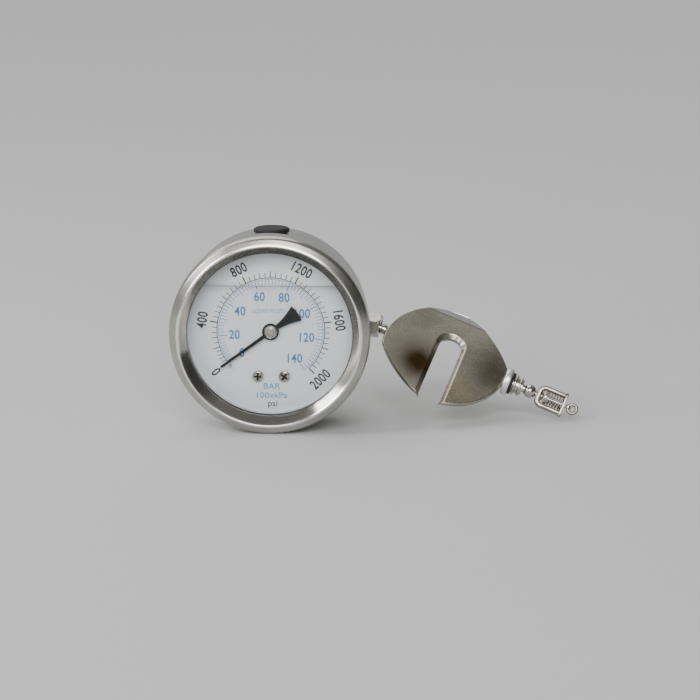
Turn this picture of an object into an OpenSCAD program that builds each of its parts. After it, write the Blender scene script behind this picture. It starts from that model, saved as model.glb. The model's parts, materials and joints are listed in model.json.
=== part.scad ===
// Liquid-filled dial pressure gauge with a centre-back stem and a swivelling tail:
// a slotted holding disc, a sprung plunger yoke and a pull ring, hung on the stem by a collar.
// The gauge axis is Y (dial faces -Y, twelve o'clock is +Z); the origin is the middle of
// the stem's thread. Depths called *_at are measured back from the bezel's front edge.

/* [Gauge] */
// Outer diameter of the bezel ring
bezel_d = 69; // [68:0.5:72]
// Outer diameter of the case drum
case_d = 66.4; // [66:0.1:66.6]
// Depth from the bezel's front edge to the back of the case
case_depth = 32; // [31.6:0.1:32.4]
// Wall of the drawn case
case_wall = 0.9; // [0.7:0.1:1.2]
// Diameter of the opening in the bezel
opening_d = 56.6; // [54:0.2:57]
// Depth of the dial's face behind the bezel's front edge
dial_at = 10.5; // [10.3:0.1:10.7]
// Length of the filling plug above the case
plug_height = 1.8; // [1.6:0.1:4]

/* [Stem] */
// Radius of the round boss behind the case
boss_r = 7; // [6.8:0.1:7.2]
// Outside radius of the pipe thread
thread_r = 6.6; // [6.4:0.1:6.8]
// Length of the pipe thread
thread_len = 13; // [12:0.5:14]

/* [Movement] */
// Teeth of the pinion
pinion_teeth = 12; // [12:1:12]
// Teeth of the full circle that the sector is cut from
sector_teeth = 96; // [96:1:96]
// Tooth module
gear_module = 0.2; // [0.2:0.01:0.2]
// Distance from the sector's pivot to its link pin
tail_r = 5; // [5:0.1:5]
// Mean radius of the Bourdon tube
tube_r = 21; // [20.5:0.1:21.5]

/* [Pointer] */
// Length from the axis to the tip
pointer_len = 21.7; // [20:0.1:22]
// Length from the axis to the tail's end
pointer_tail = 11.5; // [9:0.1:12]
// Direction of the tip at zero, counterclockwise from three o'clock
pointer_rest = 216; // [214:0.5:217]

/* [Tail] */
// Distance from the gauge axis to the centre of the swivel ball
arm_len = 35.1; // [34.8:0.1:35.4]
// Angle of the collar's arm below horizontal
arm_drop = 5.7; // [5.5:0.1:5.9]
// Downward pitch of the tail
tail_pitch = 20.8; // [19:0.1:21]
// Turn of the tail towards the front
tail_yaw = 10.6; // [10:0.1:12]
// Roll of the slotted disc about the tail
disc_roll = 31.5; // [25:0.5:38]
// Roll of the yoke about the tail
yoke_roll = 62; // [55:0.5:70]
// Radius of the slotted disc
disc_r = 22.8; // [22.4:0.1:22.8]
// Thickness of the slotted disc
disc_t = 2.6; // [2.4:0.1:2.8]
// Width of the disc's slot
slot_w = 8.2; // [8:0.1:9]

/* [Hidden] */
$fn = 96;

// Small gap between pieces that only touch, and running clearance of the pivots
gap = 0.05;
run = 0.04;
steel = [0.74, 0.74, 0.73];
nickel = [0.72, 0.70, 0.66];
brass = [0.78, 0.66, 0.38];
black = [0.06, 0.06, 0.06];

// Depths behind the bezel's front edge
boss_end_at = case_depth + 11.5;
thread_at = boss_end_at + 1.5;
origin_at = thread_at + thread_len / 2;
window_at = 3.75;
window_t = 2.85;
gasket_at = window_at + window_t;
spacer_at = gasket_at + 1.1;
dial_t = 0.8;
front_plate_at = 13.5;
plate_t = 1;
gear_at = 15.2;
gear_t = 0.8;
back_plate_at = 17.2;
socket_at = back_plate_at + plate_t;
socket_screw_spots = [[-5, -21], [5, -21]];
plug_at = 19;
stop_pin_spot = 18.5 * [cos(220.7), sin(220.7)];
stop_pin_r = 0.42;
collar_at = case_depth + 6.55;
case_floor_at = case_depth - 1.2;
tube_at = 18.7;
tube_w = 6.5;
tip_angle = 6;
link_at = 16.3;
pointer_at = 8.9;

bezel_r = bezel_d / 2;
case_r = case_d / 2;
case_in = case_r - case_wall;
opening_r = opening_d / 2;
pinion_pitch = pinion_teeth * gear_module / 2;
sector_pitch = sector_teeth * gear_module / 2;
// The centre distance is opened a little so that the teeth never bottom
pivot_drop = pinion_pitch + sector_pitch + 0.03;
pinion_r = 0.6;
shaft_r = 0.75;
screw_x = 4.6;
screw_z = -16;
pillar_spots = [[-5.6, -20], [5.6, -20], [-5.6, 4.5], [5.6, 4.5]];
// Link pin on the sector and on the tube's tip, from the pointer axis
link_near = [tail_r * cos(20), -pivot_drop - tail_r * sin(20)];
link_far = [20.5, -5.5];
link_pin_r = 0.45;
// Room that the link's open end leaves round the tip's pin
link_open_r = 0.65;

// Angle of the ball's seat above the hanging tail
seat_rise = 9;

// Distances along the tail from the ball's centre
disc_at = 27.7;
disc_side = -0.8;
slot_end = 4.7;
tongue_end = 51.4;
neck_at = 50.55;
neck_w = 2.3;
ring_r = 3.7;
ring_at = [54.6, 56.5];
ball_at = 60.3;
ball_r = 2.4;
yoke_at = 62.75;
yoke_base = 2;
arm_end_at = 72.7;
yoke_half = 4.1;
yoke_arm_w = 1.6;
yoke_arm_t = 3;
head_at = 65.8;
head_w = 0.8;
head_r = 2.3;
rod_r = 0.6;
spring_r = 2.05;
spring_turns = 7;
bar_w = 0.8;
eye_at = 74.9;
loop_r = 1.6;
loop_wire = 0.6;

// Depth behind the bezel's front edge turned into a position along Y
function lv(depth) = depth - origin_at;

// Rod along +Y on the gauge axis or beside it
module rod_y(depth, len, r, x = 0, z = 0) {
  translate([x, lv(depth), z]) rotate([-90, 0, 0]) cylinder(h = len, r = r);
}

// Ring along +Y
module ring_y(depth, len, r_out, r_in) {
  difference() {
    rod_y(depth, len, r_out);
    rod_y(depth - 1, len + 2, r_in);
  }
}

// Turned piece about the gauge axis, from a profile of [radius, depth] points
module turned_y(profile) {
  translate([0, lv(0), 0]) rotate([-90, 0, 0]) rotate_extrude() polygon(profile);
}

// Flat piece facing the front: a shape of x and z, between depth and depth + t
module flat_y(depth, t) {
  translate([0, lv(depth) + t, 0]) rotate([90, 0, 0]) linear_extrude(t) children();
}

// Tail frame: X along the tail from the ball's centre, rolled about it
module on_tail(roll) {
  translate([arm_len * cos(arm_drop), lv(collar_at), -arm_len * sin(arm_drop)])
    rotate([0, 0, -tail_yaw]) rotate([0, tail_pitch, 0]) rotate([roll, 0, 0]) children();
}

// Seat frame: X along the middle of the ball's cone, which the tail hangs below at rest
module on_seat() {
  translate([arm_len * cos(arm_drop), lv(collar_at), -arm_len * sin(arm_drop)])
    rotate([0, 0, -tail_yaw]) rotate([0, tail_pitch - seat_rise, 0]) children();
}

// Rod along the tail
module rod_x(at, len, r) {
  translate([at, 0, 0]) rotate([0, 90, 0]) cylinder(h = len, r = r);
}

// Washer along the tail
module washer_x(at, len, r_out, r_in) {
  difference() {
    rod_x(at, len, r_out);
    rod_x(at - 1, len + 2, r_in);
  }
}

// Angle between the radius and the involute at radius r, for the base radius
function involute(base, r) = r <= base ? 0
  : let (roll = sqrt(pow(r / base, 2) - 1)) roll * 180 / PI - atan(roll);

// Half angle of a tooth at radius r: share is the tooth's part of the circular pitch
function half_tooth(teeth, r, share) = let (pitch = teeth * gear_module / 2, base = pitch * cos(20))
  share * 180 / teeth + involute(base, pitch) - involute(base, max(r, base));

// Outline of one tooth about the angle mid, from root to tip and back
function tooth(teeth, mid, root, tip, share) = [
  for (s = [-1, 1]) for (k = [0 : 4])
    let (r = s < 0 ? root + (tip - root) * k / 4 : tip - (tip - root) * k / 4)
      r * [cos(mid + s * half_tooth(teeth, r, share)), sin(mid + s * half_tooth(teeth, r, share))]];

// Drawn steel drum with a rounded back corner, a stem hole and a plug hole
module case() {
  corner = 2;
  color(steel) difference() {
    translate([0, lv(0), 0]) rotate([-90, 0, 0]) rotate_extrude() difference() {
      union() {
        translate([0, 4]) square([case_r, case_depth - corner - 4]);
        translate([0, 4]) square([case_r - corner, case_depth - 4]);
        translate([case_r - corner, case_depth - corner]) circle(corner);
      }
      translate([-1, 3]) square([case_in + 1, case_floor_at - 3]);
    }
    rod_y(case_floor_at - 1, 4, boss_r + 0.1);
    translate([0, lv(plug_at), case_in - 4]) cylinder(h = 8, r = 5.1);
    for (spot = socket_screw_spots) rod_y(case_floor_at - 1, 4, 1.3, spot.x, spot.y);
  }
}

// Rolled bezel: outer band, crest and inner cone, pressed over the case's rim
module bezel_ring() {
  color(steel) turned_y([[bezel_r, 2.5], [bezel_r, 8.6], [case_r + gap, 8.6], [case_r + gap, 3.65],
    [opening_r, 3.65], [opening_r, 2.9], [31, 0.2], [31.2, 0.05], [31.4, 0], [31.65, 0.1],
    [33.7, 1.05], [34.2, 1.5], [bezel_r - 0.08, 2]]);
}

module window() {
  color([0.85, 0.9, 0.92, 0.35]) rod_y(window_at, window_t, case_in - 0.15);
}

module window_gasket() {
  color(black) ring_y(gasket_at + gap, spacer_at - gasket_at - 2 * gap, case_in - 0.15, opening_r + 0.4);
}

// Spacer between the gasket and the dial: its wall shows through the window
module spacer_ring() {
  color([0.7, 0.71, 0.71]) turned_y([[case_in - 0.1, spacer_at], [case_in - 0.1, dial_at - gap],
    [opening_r + 0.5, dial_at - gap], [opening_r + 1.1, spacer_at]]);
}

module dial() {
  color([0.95, 0.96, 0.97]) difference() {
    rod_y(dial_at, dial_t, case_in - 0.1);
    rod_y(dial_at - 1, 3, 1.6);
    for (s = [-1, 1]) rod_y(dial_at - 1, 3, 1, s * screw_x, screw_z);
    rod_y(dial_at - 1, 3, stop_pin_r + 0.03, stop_pin_spot.x, stop_pin_spot.y);
  }
}

// Two pan-head screws with a cross recess
module dial_screws() {
  color(nickel) for (s = [-1, 1]) difference() {
    union() {
      rod_y(dial_at - 1.1, 1.1 - gap, 1.95, s * screw_x, screw_z);
      rod_y(dial_at - 0.5, 2.6, 0.9, s * screw_x, screw_z);
    }
    for (turn = [0, 90]) translate([s * screw_x, lv(dial_at - 1.2), screw_z])
      rotate([0, 25 + turn, 0]) cube([2.4, 1.2, 0.5], center = true);
  }
}

// Short posts that carry the dial on the movement
module dial_posts() {
  depth = dial_at + dial_t + gap;
  color(brass) for (s = [-1, 1]) difference() {
    rod_y(depth, front_plate_at - depth, 1.5, s * screw_x, screw_z);
    rod_y(depth - 1, 5, 0.95, s * screw_x, screw_z);
  }
}

// Pin that stops the pointer at zero
module stop_pin() {
  start = pointer_at - 0.6;
  color(nickel) rod_y(start, dial_at + dial_t - start, stop_pin_r, stop_pin_spot.x, stop_pin_spot.y);
}

// Rubber filling plug: a groove holds it in the case's wall
module fill_plug() {
  color(black) translate([0, lv(plug_at), 0]) rotate_extrude() polygon([[0, case_in - 2],
    [5.4, case_in - 2], [5.4, case_in - 0.6], [5, case_in - 0.6], [5, case_r + 0.05],
    [6.2, case_r + 0.35], [6.2, case_r + plug_height - 0.9], [5.5, case_r + plug_height - 0.1],
    [2.2, case_r + plug_height], [0, case_r + plug_height]]);
}

// Forged socket: block inside the case, boss through its back, pipe thread and through passage
module back_socket() {
  color(brass) difference() {
    union() {
      translate([-7.5, lv(socket_at + gap), -25]) cube([15, case_floor_at - socket_at - 2 * gap, 33]);
      rod_y(case_floor_at - 1, boss_end_at - case_floor_at + 1, boss_r);
      rod_y(boss_end_at - gap, thread_at - boss_end_at + 2 * gap, 5.7);
      rod_y(thread_at, thread_len, thread_r);
    }
    rod_y(22, 60, 1.8);
    rod_y(thread_at + thread_len - 4, 8, 2.6);
    for (spot = socket_screw_spots) rod_y(case_floor_at - 5, 8, 0.95, spot.x, spot.y);
    translate([-9, lv(tube_at + tube_w / 2), -20.5]) rotate([0, 90, 0]) cylinder(h = 9, r = 0.8);
    translate([0, lv(tube_at + tube_w / 2), -20.5]) cylinder(h = 20.5, r = 0.8);
    translate([-9, lv(tube_at) - 0.1, -23.4]) cube([3.4, tube_w + 0.2, 6.4]);
  }
}

// Two slotted screws from behind hold the socket in the case
module socket_screws() {
  color(nickel) for (spot = socket_screw_spots) difference() {
    union() {
      rod_y(case_depth + gap, 1.2, 2.2, spot.x, spot.y);
      rod_y(case_depth - 5, 5.5, 0.9, spot.x, spot.y);
    }
    translate([spot.x, lv(case_depth + 1.2), spot.y]) cube([5, 1, 0.6], center = true);
  }
}

// Flat seal between the case's back and the collar
module stem_seal() {
  color(black) ring_y(case_depth + gap, 1.2, 9.6, boss_r + gap);
}

// Small throttle screw in the mouth of the pressure passage
module restrictor() {
  color(brass) ring_y(thread_at + thread_len - 3.5, 2.6, 2.55, 0.4);
}

// Flat oval tube bent round the movement, open at the socket end
module bourdon_tube() {
  wall = 0.35;
  color(brass) translate([0, lv(tube_at), 0]) rotate([90, 0, 0]) mirror([0, 0, 1])
    rotate([0, 0, -tip_angle]) rotate_extrude(angle = 251 + tip_angle)
      translate([tube_r, tube_w / 2]) difference() {
        oval(tube_w, 3);
        oval(tube_w - 2 * wall, 3 - 2 * wall);
      }
}

// Oval section: length along the gauge axis, width across
module oval(len, width) {
  square([width, len - width], center = true);
  for (s = [-1, 1]) translate([0, s * (len - width) / 2]) circle(d = width, $fn = 32);
}

// Soldered end piece of the tube, with a lug and the pin for the link
module tube_tip() {
  color(brass) {
    translate([0, lv(tube_at) + 0.2, 0]) rotate([0, tip_angle, 0]) translate([tube_r - 1.7, 0, -4.2])
      cube([3.4, tube_w - 0.4, 4.2 - gap]);
    rod_y(link_at + 0.6, tube_at - link_at + 1, 1.2, link_far.x, link_far.y);
    rod_y(link_at - 0.6, 1.8, link_pin_r, link_far.x, link_far.y);
  }
}

// Outline shared by the two movement plates
module plate_outline() {
  difference() {
    hull() {
      for (spot = pillar_spots) translate(spot) circle(1.8, $fn = 32);
    }
    translate([0, -pivot_drop]) circle(shaft_r + run, $fn = 32);
    circle(pinion_r + run, $fn = 32);
    for (spot = pillar_spots) translate(spot) circle(0.75, $fn = 32);
    children();
  }
}

module back_plate() {
  color(brass) flat_y(back_plate_at, plate_t) plate_outline();
}

module front_plate() {
  color(brass) flat_y(front_plate_at, plate_t) plate_outline();
}

module plate_pillars() {
  start = front_plate_at + plate_t;
  color(brass) for (spot = pillar_spots) difference() {
    rod_y(start, back_plate_at - start, 1.4, spot.x, spot.y);
    rod_y(start - 1, 6, 0.75, spot.x, spot.y);
  }
}

// Slotted screws through the front plate and the pillars
module plate_screws() {
  color(nickel) for (spot = pillar_spots) difference() {
    union() {
      rod_y(front_plate_at - 0.8, 0.8 - gap / 2, 1.3, spot.x, spot.y);
      rod_y(front_plate_at - 0.5, 4.6, 0.7, spot.x, spot.y);
    }
    translate([spot.x, lv(front_plate_at - 0.8), spot.y]) cube([3, 0.6, 0.4], center = true);
  }
}

// Toothed sector with a light web and the arm that the link pulls; a space faces the pinion
module sector_gear() {
  root = sector_pitch - 0.26;
  tip = sector_pitch + 0.14;
  step = 360 / sector_teeth;
  color(brass) flat_y(gear_at, gear_t) translate([0, -pivot_drop]) difference() {
    union() {
      for (k = [-11 : 2]) polygon(concat([[0, 0]],
        tooth(sector_teeth, 90 + (k + 0.5) * step, root, tip, 0.4)));
      polygon(concat([[0, 0]], [for (k = [-11 : 3]) root * [cos(90 + k * step), sin(90 + k * step)]]));
      circle(1.8, $fn = 48);
      rotate(-20) translate([0, -0.9]) square([tail_r, 1.8]);
      rotate(-20) translate([tail_r, 0]) circle(0.9, $fn = 32);
    }
    circle(shaft_r, $fn = 32);
    rotate(-20) translate([tail_r, 0]) circle(link_pin_r + run, $fn = 32);
    polygon([for (k = [-9 : 1]) (root - 1) * [cos(90 + k * step), sin(90 + k * step)],
      3.2 * [cos(82), sin(82)], 3.2 * [cos(66), sin(66)]]);
  }
}

// Arbor of the sector, with a bearing end in each plate
module sector_shaft() {
  color(steel) rod_y(front_plate_at, back_plate_at + plate_t - front_plate_at, shaft_r - gap / 10,
    0, -pivot_drop);
}

// Pinion cut on the shaft that carries the pointer
module pinion() {
  color(steel) {
    flat_y(gear_at - 0.3, gear_t + 0.6) polygon([for (k = [0 : pinion_teeth - 1])
      each tooth(pinion_teeth, k * 360 / pinion_teeth, pinion_pitch - 0.2, pinion_pitch + 0.2, 0.42)]);
    rod_y(pointer_at + 0.3, back_plate_at + plate_t - pointer_at - 0.3, pinion_r);
    rod_y(gear_at + gear_t + 0.2, 0.8, 0.95);
  }
}

// Flat spiral spring that takes up the backlash of the teeth
module hairspring() {
  turns = 4;
  steps = 24;
  start_r = 1.0;
  pitch = 0.8;
  wire = 0.16;
  last = turns * steps;
  color(brass) flat_y(gear_at + gear_t + 0.5, 0.4) polygon([
    for (k = [0 : last]) (start_r + pitch * k / steps) * [cos(k * 360 / steps), sin(k * 360 / steps)],
    for (k = [last : -1 : 0])
      (start_r + wire + pitch * k / steps) * [cos(k * 360 / steps), sin(k * 360 / steps)]]);
}

// Stud in the back plate that holds the spring's outer end
module spring_stud() {
  color(brass) rod_y(gear_at + gear_t + 0.3, back_plate_at - gear_at - gear_t - 0.3, 0.4,
    4.85, 0);
}

// Flat link between the sector's arm and the tube's tip: its far eye is open wide
module link() {
  color(steel) flat_y(link_at, 0.4) difference() {
    hull() {
      translate(link_near) circle(0.95, $fn = 32);
      translate(link_far) circle(link_open_r + 0.55, $fn = 32);
    }
    translate(link_far) circle(link_open_r, $fn = 32);
    translate(link_near) circle(link_pin_r, $fn = 32);
  }
}

// Pin riveted in the link that turns in the sector's arm
module link_pin() {
  color(steel) rod_y(gear_at - 0.1, link_at + 0.5 - gear_at, link_pin_r - gap / 10,
    link_near.x, link_near.y);
}

// Lance pointer with a fan tail
module pointer() {
  color(black) flat_y(pointer_at, 0.4) difference() {
    rotate(pointer_rest) union() {
      polygon([[2.2, -0.62], [pointer_len - 0.5, -0.4], [pointer_len, 0], [pointer_len - 0.5, 0.4],
        [2.2, 0.62]]);
      circle(2.9);
      polygon([for (k = [0 : 8]) [-2.2 - (pointer_tail - 2.6) * k / 8, 0.75 + 2.25 * pow(k / 8, 1.6)],
        for (k = [-4 : 4]) [-pointer_tail + 0.4 * pow(k / 4, 2), -3 * k / 4],
        for (k = [8 : -1 : 0]) [-2.2 - (pointer_tail - 2.6) * k / 8, -0.75 - 2.25 * pow(k / 8, 1.6)]]);
    }
    circle(2, $fn = 48);
  }
}

// Pressed bush of the pointer with a small boss on top
module pointer_hub() {
  color(nickel) difference() {
    union() {
      rod_y(pointer_at - 0.5, 1.3, 2 - gap / 2);
      rod_y(pointer_at - 0.2, 0.2 - gap / 2, 2.3);
    }
    rod_y(pointer_at + 0.3, 2, pinion_r);
  }
}

// Clamp collar on the stem's boss: its arm ends in the seat of the swivel ball
module stem_collar() {
  color(nickel) difference() {
    union() {
      ring_y(case_depth + 1.4, 9.4, 10.5, boss_r + gap);
      translate([0, lv(collar_at), 0]) rotate([0, 90 + arm_drop, 0])
        translate([0, 0, 9]) cylinder(h = arm_len - 9 - 5.4, r = 2.3);
      on_seat() rod_x(-7.6, 6.2, 2.9);
      on_seat() translate([-7.6, 0, 0]) sphere(2.9);
    }
    on_seat() sphere(2.5 + run);
    translate([0, lv(collar_at), 0]) cylinder(h = 20, r = 1.3);
  }
}

// Clamp screw of the collar
module collar_screw() {
  color(steel) translate([0, lv(collar_at), 0]) difference() {
    union() {
      translate([0, 0, boss_r + gap]) cylinder(h = 5, r = 1.25);
      translate([0, 0, 10.6]) cylinder(h = 2.6, r = 2.4);
    }
    translate([0, 0, 11.8]) cylinder(h = 3, r = 1.3, $fn = 6);
  }
}

// Hex nut that holds the ball in its seat
module swivel_nut() {
  color(nickel) on_seat() difference() {
    intersection() {
      rotate([0, 90, 0]) translate([0, 0, -2.6]) cylinder(h = 5.2, r = 4.4, $fn = 6);
      sphere(4.75);
    }
    rod_x(-3, 3, 2.9 + gap);
    sphere(2.5 + run);
    translate([-3, 0, 0]) rotate([0, 90, 0]) cylinder(h = 3.6, r = 2.5 + run);
    rotate([0, 90, 0]) cylinder(h = 4, r1 = 1.6, r2 = 2.7);
  }
}

// Swivel ball with the stub that is screwed in the disc's rim
module ball_stud() {
  color(nickel) on_tail(0) {
    sphere(2.5);
    rod_x(1, 3, 1.4);
    rod_x(3.2, disc_at - disc_r - 3.2 - gap, 1.8);
    rod_x(3.4, disc_at - disc_r, 0.9);
  }
}

// Wedge that bevels the disc's front beyond a chord, at an angle round the disc
module rim_bevel(turn, chord, slope) {
  rotate(turn) translate([chord, -disc_r, disc_t / 2])
    rotate([0, slope, 0]) cube([8, 2 * disc_r, 4]);
}

// Outline of the disc: round, with two flatter sides
module disc_outline() {
  flat_r = 50;
  intersection() {
    circle(disc_r, $fn = 160);
    rotate(50) translate([20.4 - flat_r, 0]) circle(flat_r, $fn = 240);
    rotate(232) translate([20.2 - flat_r, 0]) circle(flat_r, $fn = 240);
  }
}

// U slot with a rolled-in front edge, about the centre of its round end; it opens towards -Y
module slot_cut() {
  lip = 1.3;
  half = slot_w / 2;
  translate([0, 0, -disc_t]) cylinder(h = 2 * disc_t, r = half);
  translate([-half, -40, -disc_t]) cube([slot_w, 40, 2 * disc_t]);
  translate([0, 0, disc_t / 2 - lip]) cylinder(h = 2 * lip, r1 = half - 0.01, r2 = half + 2 * lip);
  translate([0, 0, disc_t / 2]) rotate([90, 0, 0]) linear_extrude(40)
    polygon([[-half, -lip], [half, -lip], [half + 2 * lip, lip], [-half - 2 * lip, lip]]);
}

// Holding disc: U slot across the tail and bevelled chords
module slotted_disc() {
  slot_lean = 3;
  color([0.62, 0.6, 0.54]) on_tail(disc_roll) difference() {
    union() {
      translate([disc_at, disc_side, -disc_t / 2]) linear_extrude(disc_t) disc_outline();
      translate([tongue_end - 4, -2.6, -disc_t / 2]) cube([4, 5.2, disc_t]);
    }
    translate([disc_at + 0.4, slot_end, 0]) rotate(slot_lean) slot_cut();
    rod_x(0, disc_at - disc_r + 4, 0.9 + gap / 2);
    translate([disc_at, disc_side, 0]) {
      rim_bevel(90, 18.3, 20);
      rim_bevel(50, 19.9, 40);
    }
  }
}

// Bright band that clamps the disc's tongue to the spindle
module neck_collar() {
  color(nickel) on_tail(disc_roll) difference() {
    rod_x(neck_at, neck_w, 4.9);
    translate([neck_at - 1, -2.6 - gap, -disc_t / 2 - gap])
      cube([tongue_end + gap + 1 - neck_at, 5.2 + 2 * gap, disc_t + 2 * gap]);
    rod_x(neck_at + 1.2, 2, 1.4);
  }
}

module groove_washer() {
  color(black) on_tail(0) washer_x(neck_at + neck_w + gap, 0.9, 3.9, 1.4 + gap);
}

// Sleeve behind the washer, with two turned rings
module neck_rings() {
  start = neck_at + neck_w + 1;
  color(nickel) on_tail(0) rotate([0, 90, 0]) rotate_extrude() {
    translate([1.45, start]) square([1.35, 57.5 - start]);
    for (k = [0, 1]) translate([ring_r - 0.3 * k - 0.5, ring_at[k]]) circle(0.5, $fn = 24);
    for (k = [0, 1]) translate([2.5, ring_at[k] - 0.35]) square([ring_r - 0.3 * k - 3, 0.7]);
  }
}

// Spindle with the ball and the riveted head that the yoke turns on
module neck_spindle() {
  color(nickel) on_tail(0) {
    rod_x(neck_at + 1.2, ball_at - neck_at - 1.2, 1.4);
    translate([ball_at, 0, 0]) sphere(ball_r);
    rod_x(ball_at, 5, 0.9);
    rod_x(yoke_at + yoke_base + gap, 0.7, 1.5);
  }
}

// Two-armed yoke with a bored bridge
module yoke() {
  color(nickel) on_tail(yoke_roll) difference() {
    union() {
      translate([yoke_at, 0, 0]) hull() {
        for (s = [-1, 1]) translate([yoke_arm_t / 2, s * (yoke_half - yoke_arm_t / 2), 0])
          sphere(yoke_arm_t / 2, $fn = 32);
      }
      for (s = [-1, 1]) translate([yoke_at + 1, s * (yoke_half - yoke_arm_w / 2), 0])
        translate([0, -yoke_arm_w / 2, -yoke_arm_t / 2])
          cube([arm_end_at - yoke_at - 1, yoke_arm_w, yoke_arm_t]);
    }
    rod_x(yoke_at - 1, 5, 0.9 + run);
    translate([yoke_at + yoke_base, -yoke_half + yoke_arm_w, -3])
      cube([20, 2 * (yoke_half - yoke_arm_w), 6]);
    translate([yoke_at - 2, -6, -3]) cube([2.01, 12, 6]);
    translate([ball_at, 0, 0]) sphere(ball_r + 2 * gap);
  }
}

// Flat-wire spring between the plunger's head and the cross bar
module yoke_spring() {
  start = head_at + head_w + gap;
  len = arm_end_at - start - gap;
  color(steel) on_tail(yoke_roll) translate([start, 0, 0]) rotate([0, 90, 0])
    linear_extrude(height = len, twist = 360 * spring_turns, slices = 18 * spring_turns,
      segments = 14)
      polygon([for (k = [0 : 6]) (spring_r + 0.25) * [cos(30 * k), sin(30 * k)],
        for (k = [6 : -1 : 0]) (spring_r - 0.25) * [cos(30 * k), sin(30 * k)]]);
}

// Plunger: head, rod and the eye for the pull ring
module plunger() {
  color(nickel) on_tail(yoke_roll) difference() {
    union() {
      rod_x(head_at, head_w, head_r);
      rod_x(head_at, eye_at - head_at, rod_r);
      translate([eye_at, -0.5, 0]) rotate([-90, 0, 0]) cylinder(h = 1, r = 1.15);
    }
    translate([eye_at, -2, 0]) rotate([-90, 0, 0]) cylinder(h = 4, r = loop_wire + 0.1);
  }
}

// Plate riveted across the ends of the yoke's arms
module cross_bar() {
  color(nickel) on_tail(yoke_roll) difference() {
    translate([arm_end_at, -yoke_half - 0.3, -1.6]) cube([bar_w, 2 * yoke_half + 0.6, 3.2]);
    rod_x(arm_end_at - 1, 3, rod_r + run);
  }
}

// Pull ring through the plunger's eye
module end_ring() {
  color(nickel) on_tail(yoke_roll) translate([eye_at + loop_r, 0, 0]) rotate_extrude()
    translate([loop_r, 0]) circle(loop_wire, $fn = 24);
}

case();
bezel_ring();
window();
window_gasket();
spacer_ring();
dial();
dial_screws();
dial_posts();
stop_pin();
fill_plug();
back_socket();
socket_screws();
stem_seal();
restrictor();
bourdon_tube();
tube_tip();
back_plate();
front_plate();
plate_pillars();
plate_screws();
sector_gear();
sector_shaft();
pinion();
hairspring();
spring_stud();
link();
link_pin();
pointer();
pointer_hub();
stem_collar();
collar_screw();
swivel_nut();
ball_stud();
slotted_disc();
neck_collar();
groove_washer();
neck_rings();
neck_spindle();
yoke();
yoke_spring();
plunger();
cross_bar();
end_ring();
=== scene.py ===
import json
import math

import bmesh
import bpy
import numpy as np
from mathutils import Matrix, Vector


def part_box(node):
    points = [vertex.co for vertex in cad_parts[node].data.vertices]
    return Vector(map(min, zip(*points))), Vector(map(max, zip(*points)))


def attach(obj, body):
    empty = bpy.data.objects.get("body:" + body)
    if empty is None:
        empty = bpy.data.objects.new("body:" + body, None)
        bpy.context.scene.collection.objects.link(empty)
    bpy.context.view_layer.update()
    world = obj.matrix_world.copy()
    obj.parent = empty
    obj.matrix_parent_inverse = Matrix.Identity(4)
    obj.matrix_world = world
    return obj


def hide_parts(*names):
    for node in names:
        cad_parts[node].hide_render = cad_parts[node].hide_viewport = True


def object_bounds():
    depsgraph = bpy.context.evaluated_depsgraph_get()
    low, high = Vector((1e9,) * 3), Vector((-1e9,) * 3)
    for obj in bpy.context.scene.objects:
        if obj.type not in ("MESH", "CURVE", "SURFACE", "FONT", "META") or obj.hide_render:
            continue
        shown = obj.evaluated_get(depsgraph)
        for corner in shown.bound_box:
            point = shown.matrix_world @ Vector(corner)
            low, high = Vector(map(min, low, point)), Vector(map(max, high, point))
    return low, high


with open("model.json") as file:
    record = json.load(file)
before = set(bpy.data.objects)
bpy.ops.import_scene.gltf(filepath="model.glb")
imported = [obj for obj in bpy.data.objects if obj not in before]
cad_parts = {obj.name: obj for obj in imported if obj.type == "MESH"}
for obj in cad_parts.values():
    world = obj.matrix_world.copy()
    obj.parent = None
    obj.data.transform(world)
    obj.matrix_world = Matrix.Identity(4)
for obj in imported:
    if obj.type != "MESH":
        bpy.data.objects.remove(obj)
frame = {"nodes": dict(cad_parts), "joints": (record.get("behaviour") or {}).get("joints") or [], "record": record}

cad_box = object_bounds()
joints = {joint["name"]: joint for joint in frame["joints"]}


# ---- Case -------------------------------------------------------------------------------------
# The drum is drawn from stainless sheet, turned to a satin finish while it spins, and its back
# corner is rounded. Everything else of the gauge is fixed in it. Sizes below are in millimetres.

MM = 0.001
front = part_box("bezel_ring")[0][1] / MM
gauge = (np.array([0, front, 0]), np.array([[0, 1, 0], [1, 0, 0], [0, 0, 1]]))


def rounded(corners, steps=7):
    """Profile of (radius, place) points from (radius, place, fillet) corners. Each corner turns
    into the quadratic curve that leaves one side, and joins the other, a fillet away from it."""
    corners = np.array(corners, float)
    spots, fillet = corners[:, :2], corners[:, 2:]
    before = np.vstack([spots[:1], spots[:-1]]) - spots
    after = np.vstack([spots[1:], spots[-1:]]) - spots
    before = before / np.maximum(np.linalg.norm(before, axis=1, keepdims=True), 1e-9)
    after = after / np.maximum(np.linalg.norm(after, axis=1, keepdims=True), 1e-9)
    t = np.linspace(0, 1, steps)[None, :, None]
    start, end = (spots + before * fillet)[:, None], (spots + after * fillet)[:, None]
    curve = (1 - t) ** 2 * start + 2 * t * (1 - t) * spots[:, None] + t ** 2 * end
    return curve.reshape(-1, 2)


def put(local, place):
    """Points of (along, side, up) carried into the row's frame: origin + each step times its axis."""
    return place[0] + np.asarray(local) @ place[1]


def circle(steps):
    """Angles once round, without the last, which would be the first again."""
    return np.linspace(0, 2 * np.pi, steps, endpoint=False)


def polar(h, r, a, place):
    """Points (h, r cos a, r sin a) of the row's frame."""
    return put(np.stack([h + 0 * r * a, r * np.cos(a), r * np.sin(a)], -1), place)


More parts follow.
